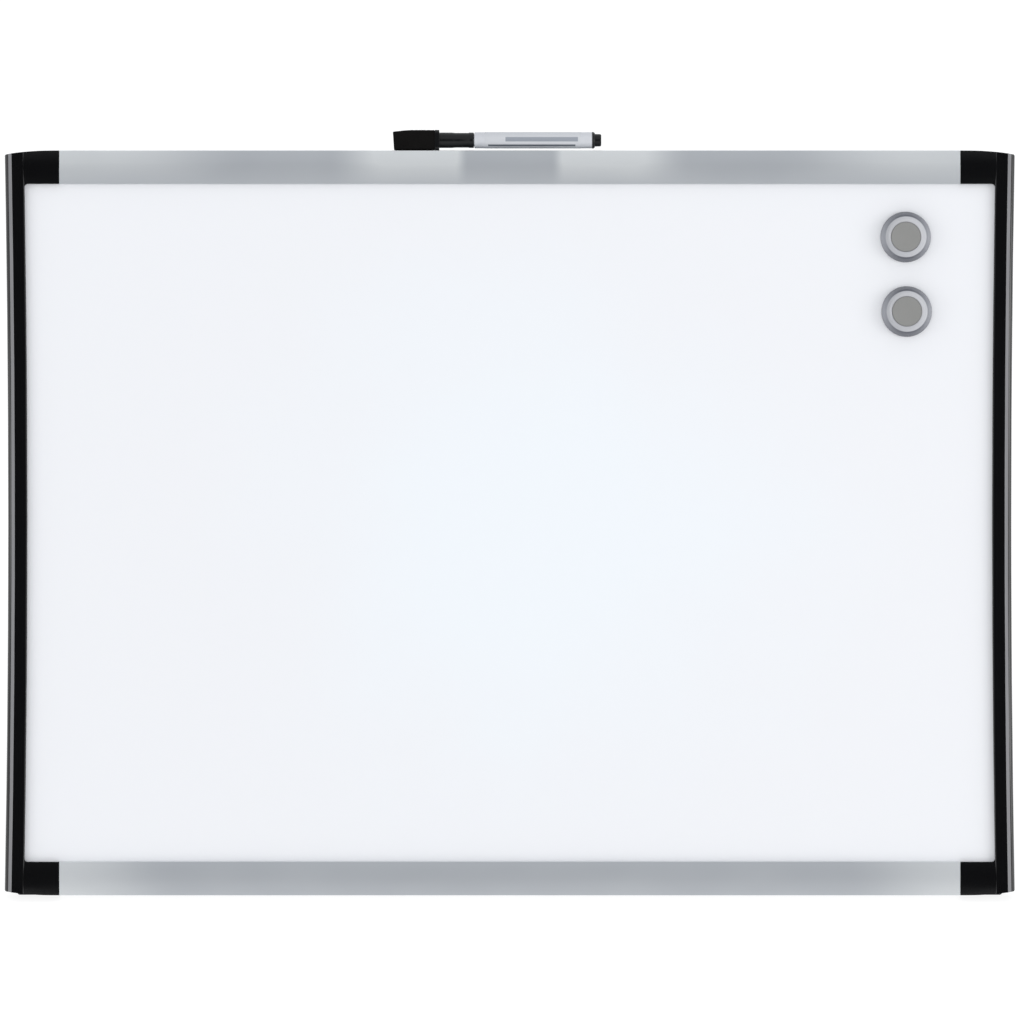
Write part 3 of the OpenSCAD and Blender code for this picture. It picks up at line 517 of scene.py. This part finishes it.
# %% Finish every piece
WELD_GAP = 0.002  # mm, corners nearer than this are the same corner
FLAT_ANGLE = math.radians(0.2)  # faces that differ by less are one flat face
HARD_ANGLE = math.radians(35)  # edges that turn by more are hard
EDGES = {  # mm, the width of the round on a finish's edges
    "satin_aluminium": 0.35, "black_abs": 0.2, "black_nylon": 0.3, "bracket_steel": 0.2}
FINE_EDGE = 0.1  # mm, on all other finishes


def soften(piece, width_mm):
    """Welds a piece's corners, rounds its hard edges by width_mm and shades it smooth."""
    mesh = piece.data
    if "custom_normal" in mesh.attributes:
        mesh.attributes.remove(mesh.attributes["custom_normal"])
    mesh.shade_smooth()
    weld = piece.modifiers.new("weld", "WELD")
    weld.merge_threshold = WELD_GAP * MM
    flats = piece.modifiers.new("flats", "DECIMATE")
    flats.decimate_type = "DISSOLVE"
    flats.angle_limit = FLAT_ANGLE
    bevel = piece.modifiers.new("edges", "BEVEL")
    bevel.width = width_mm * MM
    bevel.segments = 2
    bevel.limit_method = "ANGLE"
    bevel.angle_limit = HARD_ANGLE
    bevel.harden_normals = True


for part in frame["record"]["subparts"]:
    piece = nodes[part["node"]]
    piece.data.materials.clear()
    piece.data.materials.append(finishes[part["material_slot"]])
    soften(piece, EDGES.get(part["material_slot"], FINE_EDGE))

# %% [markdown]
# ## Helpers for finer surfaces
# The small pieces that draw the eye are made again as finer surfaces. Each is a stack of
# rings, computed as one array: ring by ring along the piece, point by point around it. Joining
# neighbours gives quads. A solid piece ends in two poles, closed by fans of triangles, and a
# piece with a bore joins its last ring to its first. The signed volume under all faces is
# positive only when they point outwards, which is a sure way to get them the right way round.


# %% A closed surface from rings
def closed_surface(name, rings, poles=None):
    """Joins rings of points to a closed mesh, with fans to two poles or as a loop of rings.

    The volume is the sum of a . (b x c) / 6 over the triangles a, b, c of all faces.
    """
    count, size = rings.shape[:2]
    index = np.arange(count * size).reshape(count, size)
    here, there = (index, np.roll(index, -1, 0)) if poles is None else (index[:-1], index[1:])
    quads = np.stack([here, np.roll(here, -1, 1), np.roll(there, -1, 1), there], -1).reshape(-1, 4)
    triangles = np.vstack([quads[:, [0, 1, 2]], quads[:, [0, 2, 3]]])
    points, faces = rings.reshape(-1, 3), quads.tolist()
    if poles is not None:
        points = np.vstack([points, poles])
        tip = np.full(size, count * size)
        first, last = index[0], index[-1]
        fans = np.vstack([np.stack([tip, np.roll(first, -1), first], -1),
                          np.stack([tip + 1, last, np.roll(last, -1)], -1)])
        triangles = np.vstack([triangles, fans])
        faces += fans.tolist()
    a, b, c = (points[triangles[:, corner]] for corner in range(3))
    volume = np.sum(a * np.cross(b, c)) / 6
    mesh = bpy.data.meshes.new(name)
    mesh.from_pydata(points.tolist(), [], faces)
    if volume < 0:
        mesh.flip_normals()
    mesh.shade_smooth()
    print(name, len(points), "points,", round(abs(volume) / MM**3), "mm3")
    return mesh


def new_piece(mesh, material, slot, body, *replaced):
    """Shows a new mesh as a piece that rides on a body and stands for the replaced nodes."""
    piece = bpy.data.objects.new(mesh.name, mesh)
    bpy.context.collection.objects.link(piece)
    mesh.materials.append(material)
    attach(piece, body)
    if replaced:
        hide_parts(*replaced)
    return piece


# %% [markdown]
# Most of these pieces are turned, as on a lathe. We draw half of a cross section as an outline
# with sharp corners, let a curve cut each corner off, and carry the outline round the axis.


# %% Rounded outlines and turned rings
def round_corners(outline, reach, steps=5, closed=False):
    """Replaces each corner by a curve that leaves and joins its sides up to reach away.

    The curve is the quadratic one from a to b with the corner c as its handle:
    (1-t)^2 a + 2t(1-t) c + t^2 b. Neither a nor b lies past the middle of its side. On an open
    outline the first and last point stay.
    """
    outline = np.asarray(outline, float)
    corner = outline if closed else outline[1:-1]
    before = np.roll(outline, 1, 0) if closed else outline[:-2]
    after = np.roll(outline, -1, 0) if closed else outline[2:]
    a, b = (
        corner + side * np.minimum(0.5, reach / np.linalg.norm(side, axis=1, keepdims=True))
        for side in (before - corner, after - corner)
    )
    t = np.linspace(0, 1, steps)[None, :, None]
    a, b, c = a[:, None], b[:, None], corner[:, None]
    curves = ((1 - t) ** 2 * a + 2 * t * (1 - t) * c + t**2 * b).reshape(-1, 2)
    return curves if closed else np.vstack([outline[:1], curves, outline[-1:]])


def around(count):
    """Equal steps of angle once round, from zero."""
    return np.linspace(0, 2 * math.pi, count, endpoint=False)


def turned_rings(outline, centre, axis, side, turns):
    """Turns an outline of (radius, distance) in mm about an axis.

    A point of radius r and distance d becomes the circle centre + d axis + r (cos a side +
    sin a other), where other is square to both.
    """
    angle = around(turns)
    spokes = np.outer(np.cos(angle), side) + np.outer(np.sin(angle), np.cross(axis, side))
    radius, distance = np.asarray(outline).T[:, :, None, None]
    return centre + (radius * spokes + distance * axis) * MM


square = round_corners([(0, 0), (1, 0), (1, 1), (0, 1)], 0.2, closed=True)
print("a square with rounded corners has", len(square), "points")

# %% [markdown]
# ## The magnets
# A magnet is a turned shape: a low cup, open at the back for its ferrite disc, with a sloping
# skirt, a rolled rim and a shallow dish for the grey inlay. We write half its cross section as
# (radius, height) from the ceiling of the cavity, round the outside, to the floor of the dish,
# and turn it once about the axis. A fine step parts the skirt from the rim.

# %% Magnet housings
HOUSING_OUTLINE = (  # mm
    (12.45, 4.3), (12.45, 0.05),  # the cavity, from its ceiling to its mouth
    (14.65, 0.05), (14.65, 1.2), (12.7, 5.75), (12.4, 5.8),  # the foot, the skirt and the step
    (12.1, 6.45), (11.2, 6.8), (10.3, 6.75), (8.75, 6.12), (8.6, 5.3))  # the rim and the dish
HOUSING_ROUND = 0.5  # mm, how far the rounding of a corner reaches
HOUSING_TURNS = 128


def store(mesh, name, numbers):
    """Stores one number per point of the rings. The two poles come last and get zero."""
    stored = mesh.attributes.new(name, "FLOAT", "POINT")
    stored.data.foreach_set("value", np.append(numbers, [0.0, 0.0]))


for row in ("upper", "lower"):
    low, high = board_box(row + "_magnet_housing")
    back = place([(low[0] + high[0]) / 2, low[1], (low[2] + high[2]) / 2])
    outline = round_corners(HOUSING_OUTLINE, HOUSING_ROUND)
    poles = [back + outline[0, 1] * FRONT * MM, back + outline[-1, 1] * FRONT * MM]
    rings = turned_rings(outline, back, FRONT, RIGHT, HOUSING_TURNS)
    housing = closed_surface(row + "_magnet_shell", rings, poles)
    store(housing, "rightward", np.tile(np.cos(around(HOUSING_TURNS)), len(outline)))
    store(housing, "radius_mm", np.repeat(outline[:, 0], HOUSING_TURNS))
    new_piece(housing, finishes["grey_magnet_shell"], "grey_magnet_shell", row + "_magnet",
              row + "_magnet_housing")

# %% [markdown]
# ## The eraser
# The eraser is a block cut from pressed felt and glued over the cap's spigot. Its section is a
# square with soft corners, its far end is cut at a slight slant and its upper edge droops
# towards that end. A superellipse draws the section: the nearer its power is to 2, the rounder
# the square. Small seeded bumps break the faces up, as cut fibres do. They only ever cut into
# the block, so that it stays within its solid.

# %% Felt eraser
SECTION_POWER = 8.0
SECTION_POINTS = 112
SLANT = 0.7  # mm that the lower edge of the far end stands back
DROOP = 1.0  # mm that the upper edge sinks towards the far end
DROOP_LENGTH = 11.0  # mm over which it sinks
FUZZ = 0.05  # mm, the usual height of a bump
FUZZ_SEED = 5
CUT_BACK = 1.5 * FUZZ  # mm that the faces lie in on average, to leave room for the bumps
ROUND_END = (  # mm in from an end, and the share of the full section there
    (0.0, 0.35), (0.0, 0.7), (0.0, 0.92), (0.12, 0.965), (0.4, 0.99), (0.9, 1.0))
FLANK_START = 1.4  # mm in from an end, where the even steps between the ends start
FLANK_STEPS = 44


def felt_block(low, high):
    """Rings from the far end to the near one, in board mm, inside the box from low to high.

    At angle a a section reaches (|cos a|^p + |sin a|^p)^(-1/p) of its half size, less the fuzz.
    With u from 0 below to 1 above and s mm from the far end, a point moves right by the slant
    times 1 - u, fading to the near end, and sinks by the droop times u^3 (1 - s / length)^1.5.
    """
    length = high[0] - low[0]
    half = (high - low) / 2
    middle = (low + high) / 2
    even = [(s, 1.0) for s in np.linspace(FLANK_START, length - FLANK_START, FLANK_STEPS)]
    near = [(length - s, share) for s, share in reversed(ROUND_END)]
    along, share = np.array([*ROUND_END, *even, *near]).T[:, :, None]
    angle = around(SECTION_POINTS)
    powers = np.abs([np.cos(angle), np.sin(angle)]) ** SECTION_POWER
    spoke = powers.sum(0) ** (-1 / SECTION_POWER)
    fuzz = np.random.default_rng(FUZZ_SEED).normal(0, FUZZ, (len(along), len(angle)))
    fuzz = (fuzz + np.roll(fuzz, 1, 1) + np.roll(fuzz, 1, 0)) / 2
    size = share * (1 - np.clip(fuzz + CUT_BACK, 0, None) / half[2])
    across = half[1] * size * spoke * np.cos(angle)
    upward = half[2] * size * spoke * np.sin(angle)
    upper = (upward / half[2] + 1) / 2
    x = low[0] + along + SLANT * (1 - upper) * (1 - along / length)
    sink = DROOP * upper**3 * np.clip(1 - along / DROOP_LENGTH, 0, 1) ** 1.5
    return np.stack([x, middle[1] + across, middle[2] + upward - sink], -1)


low, high = board_box("cap_eraser")
middle = (low + high) / 2
poles = place([(low[0] + SLANT / 2, middle[1], middle[2]), (high[0], middle[1], middle[2])])
new_piece(closed_surface("felt_eraser", place(felt_block(low, high)), poles),
          finishes["eraser_felt"], "eraser_felt", "cap", "cap_eraser")

# %% [markdown]
# ## The label film
# The film is a thin sleeve on the barrel, a twelfth of a millimetre thick. It is a turned
# outline too, but a closed one, with an outside, an inside and two ends. The inside lies a
# little below the barrel's surface, so that no gap can show under it.

# %% Label film
FILM = 0.08  # mm above the barrel's surface
FILM_INSIDE = 0.05  # mm below it
FILM_ROUND = 0.03  # mm
FILM_TURNS = 96
barrel_r = (barrel_high[2] - barrel_low[2]) / 2
inside, outside = barrel_r - FILM_INSIDE, barrel_r + FILM
mouth = place([barrel_low[0], barrel_mid[1], barrel_mid[2]])
film_outline = round_corners([
    (inside, LABEL_START), (outside, LABEL_START), (outside, LABEL_END), (inside, LABEL_END),
], FILM_ROUND, 3, closed=True)
film = closed_surface("marker_label", turned_rings(film_outline, mouth, RIGHT, UP, FILM_TURNS))
new_piece(film, label_finish, "white_barrel", "marker")

# %% [markdown]
# ## The foot sleeves
# Two rubber sleeves keep the leg's crossbar from sliding on the desk. They are moulded with
# ribs, which bite better than a smooth tube. The outline runs out along the ribs and back
# through the bore, and the desk flattens the lowest line of the turned shape.

# %% Ribbed foot sleeves
TUBE_R = 4.0  # mm, the crossbar's radius
RIB_PITCH = 3.0  # mm
GROOVE_DEPTH = 0.5  # mm
GROOVE_TOP, GROOVE_FLOOR = 0.7, 0.4  # mm, half the width of a groove at its top and its floor
SLEEVE_ROUND = 0.3  # mm
SLEEVE_TURNS = 72
SKYWARD = np.array([0.0, 0.0, 1.0])
for side in ("left", "right"):
    low, high = (np.array(corner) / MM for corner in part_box(side + "_foot_sleeve"))
    radius = (high[1] - low[1]) / 2
    length = high[0] - low[0]
    ribs = []
    for groove in np.arange(RIB_PITCH, length - RIB_PITCH / 2, RIB_PITCH):
        ribs += [(radius, groove - GROOVE_TOP), (radius - GROOVE_DEPTH, groove - GROOVE_FLOOR),
                 (radius - GROOVE_DEPTH, groove + GROOVE_FLOOR), (radius, groove + GROOVE_TOP)]
    outline = round_corners([(radius, 0), *ribs, (radius, length), (TUBE_R, length), (TUBE_R, 0)],
                            SLEEVE_ROUND, 4, closed=True)
    centre = np.array([low[0], (low[1] + high[1]) / 2, high[2] - radius]) * MM
    rings = turned_rings(outline, centre, RIGHT, SKYWARD, SLEEVE_TURNS)
    rings[..., 2] = np.maximum(rings[..., 2], 0)  # the desk is at height 0
    new_piece(closed_surface(side + "_ribbed_sleeve", rings), finishes["black_rubber"],
              "black_rubber", "leg", side + "_foot_sleeve")

# %% [markdown]
# ## Floor, light and camera
# The set is a light table, a floor of opal glass that glows from below. It reflects little, so
# a shadow on it hardly shows and the board stands in plain white.

# %% Floor
HALF_FLOOR = 12.0  # m


def opal_glass(tree, place_mm):
    """Grey, dull and glowing: with the light that falls on it, it comes out as plain white."""
    return {"Base Color": colour("#7c7c7c"), "Roughness": 0.9, "Specular IOR Level": 0.1,
            "Emission Color": colour("#ffffff"), "Emission Strength": 0.88}


floor_mesh = bpy.data.meshes.new("studio_floor")
corners = [(x * HALF_FLOOR, y * HALF_FLOOR, 0) for x, y in ((-1, -1), (1, -1), (1, 1), (-1, 1))]
floor_mesh.from_pydata(corners, [], [(0, 1, 2, 3)])
floor = bpy.data.objects.new("studio_floor", floor_mesh)
bpy.context.collection.objects.link(floor)
floor_mesh.materials.append(make_material("light_table", opal_glass))
floor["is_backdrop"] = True

# %% [markdown]
# The sky is a soft white dome. In front of the board it has a dark patch, as a studio has round
# the camera, because black plastic mirrors whatever faces it. How far a direction is from the
# board's front is the cosine that a dot product gives. What the camera sees directly is plain
# white, as the floor is, so no view has a horizon.

# %% World
DARK_INNER, DARK_OUTER = 10, 22  # degrees from the board's front, fully dark and no longer dark
world = bpy.data.worlds.new("studio")
bpy.context.scene.world = world
world.use_nodes = True
tree = world.node_tree
tree.nodes.clear()
direction = add(tree, "TexCoord").outputs["Generated"]
facing = add(tree, "VectorMath", {0: direction, 1: FRONT}, operation="DOT_PRODUCT")
patch = add(tree, "MapRange", {
    "Value": facing.outputs["Value"],
    "From Min": math.cos(math.radians(DARK_OUTER)), "From Max": math.cos(math.radians(DARK_INNER))})
dome = add(tree, "Mix", {
    0: patch.outputs["Result"], 6: colour("#f6f8fb"), 7: colour("#26282c")}, data_type="RGBA")
seen = add(tree, "LightPath").outputs["Is Camera Ray"]
sky = add(tree, "Mix", {0: seen, 6: dome.outputs[2], 7: colour("#ffffff")}, data_type="RGBA")
background = add(tree, "Background", {"Color": sky.outputs[2], "Strength": 1.0})
add(tree, "OutputWorld", {"Surface": background.outputs[0]})
print("sky from", len(tree.nodes), "nodes, dark patch", 2 * DARK_OUTER, "degrees wide")

# %% [markdown]
# Soft boxes on both sides shape the small things, the right one the stronger. A third, by the
# camera, fills the writing face evenly up to its lips. It is hidden from reflections, or the
# black frame would mirror it.

# %% Soft boxes
SIDE_SIZE = (1.2, 1.6)  # m, width and height
ASIDE, BEFORE, HIGH = 2.4, -1.3, 0.5  # m, where the right one stands, and the left one mirrored
RIGHT_WATTS, LEFT_WATTS, FILL_WATTS = 20, 10, 28
FILL_SIZE = (2.6, 2.6)
FILL_DISTANCE = 4.2  # m


def soft_box(name, spot, aim, size, watts):
    """A rectangular area light at spot that faces aim."""
    light = bpy.data.lights.new(name, "AREA")
    light.shape = "RECTANGLE"
    light.size, light.size_y = size
    light.energy = watts
    box = bpy.data.objects.new(name, light)
    bpy.context.collection.objects.link(box)
    box.location = spot
    away = np.array(spot) - np.array(aim)
    box.rotation_euler = Vector(away).to_track_quat("Z", "Y").to_euler()
    print(name, watts, "W from", round(float(np.linalg.norm(away)), 1), "m")
    return box


board_middle = place([0, SHEET_FRONT, MID_HEIGHT])
by_camera = board_middle + FILL_DISTANCE * FRONT
soft_box("right_box", (ASIDE, BEFORE, HIGH), board_middle, SIDE_SIZE, RIGHT_WATTS)
soft_box("left_box", (-ASIDE, BEFORE, HIGH), board_middle, SIDE_SIZE, LEFT_WATTS)
fill = soft_box("front_fill", by_camera, board_middle, FILL_SIZE, FILL_WATTS)
fill.visible_glossy = False

# %% [markdown]
# The camera looks square at the board from five metres, far enough for the rails to show no
# perspective. The lens follows from similar triangles: sensor over lens is view over distance.

# %% Camera
VIEW_WIDTH = 592.3  # mm of the board's front plane that the picture is wide
DISTANCE = 5.0  # m from the front plane to the camera
AIM = (1.3, FRAME_DEPTH, 221.8)  # mm, the picture's centre on the front plane
SENSOR = 36.0  # mm
camera_data = bpy.data.cameras.new("camera")
camera_data.sensor_width = SENSOR
camera_data.lens = SENSOR * DISTANCE / (VIEW_WIDTH * MM)
camera = bpy.data.objects.new("camera", camera_data)
bpy.context.collection.objects.link(camera)
camera.location = place(AIM) + DISTANCE * FRONT
camera.rotation_euler = Vector(FRONT).to_track_quat("Z", "Y").to_euler()
bpy.context.scene.camera = camera
bpy.context.scene.view_settings.view_transform = "Standard"
print("lens", round(camera_data.lens, 1), "mm")

# %% [markdown]
# Last, we note the box that the pieces fill now beside the one that they came with. The finer
# surfaces were drawn inside their solids, so the two should be the same.

# %% Sizes
visual_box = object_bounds()
drift = np.abs(np.array([list(v) for v in visual_box]) - [list(v) for v in cad_box]).max()
print("the boxes differ by", round(float(drift) / MM, 4), "mm at most")
